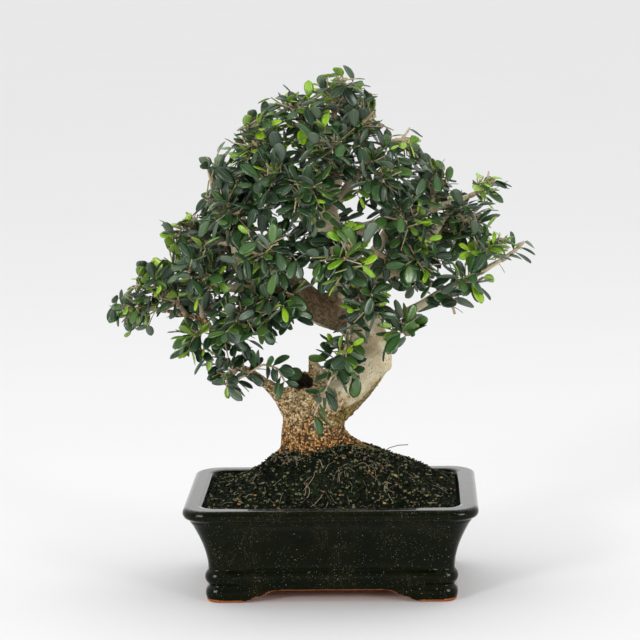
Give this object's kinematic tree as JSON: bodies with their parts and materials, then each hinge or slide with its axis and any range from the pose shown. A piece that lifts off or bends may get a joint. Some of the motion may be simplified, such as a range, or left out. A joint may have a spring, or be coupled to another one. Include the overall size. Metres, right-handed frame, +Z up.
{
  "type": "potted olive bonsai",
  "caption": "Small-leaved olive bonsai with a thick crooked trunk and a spreading crown, standing in mounded soil in a glazed rectangular tray pot on low feet.",
  "frame": {"origin": "middle of the bounding box on the surface the pot stands on", "axes": "+Z up, +X to the pot's right along its length, -Y out of the front that the long low branches are seen from"},
  "size_m": [0.3703, 0.2034, 0.4525],
  "materials": {
    "glaze": "deep gloss, near black green, bare red clay under the feet",
    "soil": "loose dark potting soil",
    "bark": "rough corky bark, orange brown low down and pale beige above",
    "foliage": "dark glossy leaves, yellow green at the tips, on thin tan twigs",
    "mesh": "moulded black plastic mesh"
  },
  "bodies": {
    "root": {"drain_screen_left": "mesh", "drain_screen_right": "mesh", "pot": "glaze", "soil": "soil", "spray_back_end": "foliage", "spray_back_left_end": "foliage", "spray_back_left_low": "foliage", "spray_back_low": "foliage", "spray_back_right_end": "foliage", "spray_back_right_low": "foliage", "spray_brow": "foliage", "spray_brow_left": "foliage", "spray_brow_right": "foliage", "spray_crown_back": "foliage", "spray_crown_east": "foliage", "spray_crown_face": "foliage", "spray_crown_left": "foliage", "spray_crown_left_back": "foliage", "spray_crown_tip": "foliage", "spray_crown_west": "foliage", "spray_face": "foliage", "spray_face_left": "foliage", "spray_face_left_low": "foliage", "spray_face_low": "foliage", "spray_far_left": "foliage", "spray_left_back": "foliage", "spray_left_behind": "foliage", "spray_left_bright": "foliage", "spray_left_cheek": "foliage", "spray_left_edge": "foliage", "spray_left_face": "foliage", "spray_left_hang": "foliage", "spray_left_inner": "foliage", "spray_left_low_face": "foliage", "spray_left_shoulder": "foliage", "spray_left_tip": "foliage", "spray_left_under": "foliage", "spray_long_mid": "foliage", "spray_long_near": "foliage", "spray_long_tip": "foliage", "spray_long_upright": "foliage", "spray_right_back": "foliage", "spray_right_cheek": "foliage", "spray_right_end": "foliage", "spray_right_face": "foliage", "spray_right_low": "foliage", "spray_right_shoulder": "foliage", "spray_right_tip": "foliage", "spray_top_right_tip": "foliage", "spray_trunk_drop": "foliage", "trunk": "bark"}
  },
  "joints": []
}
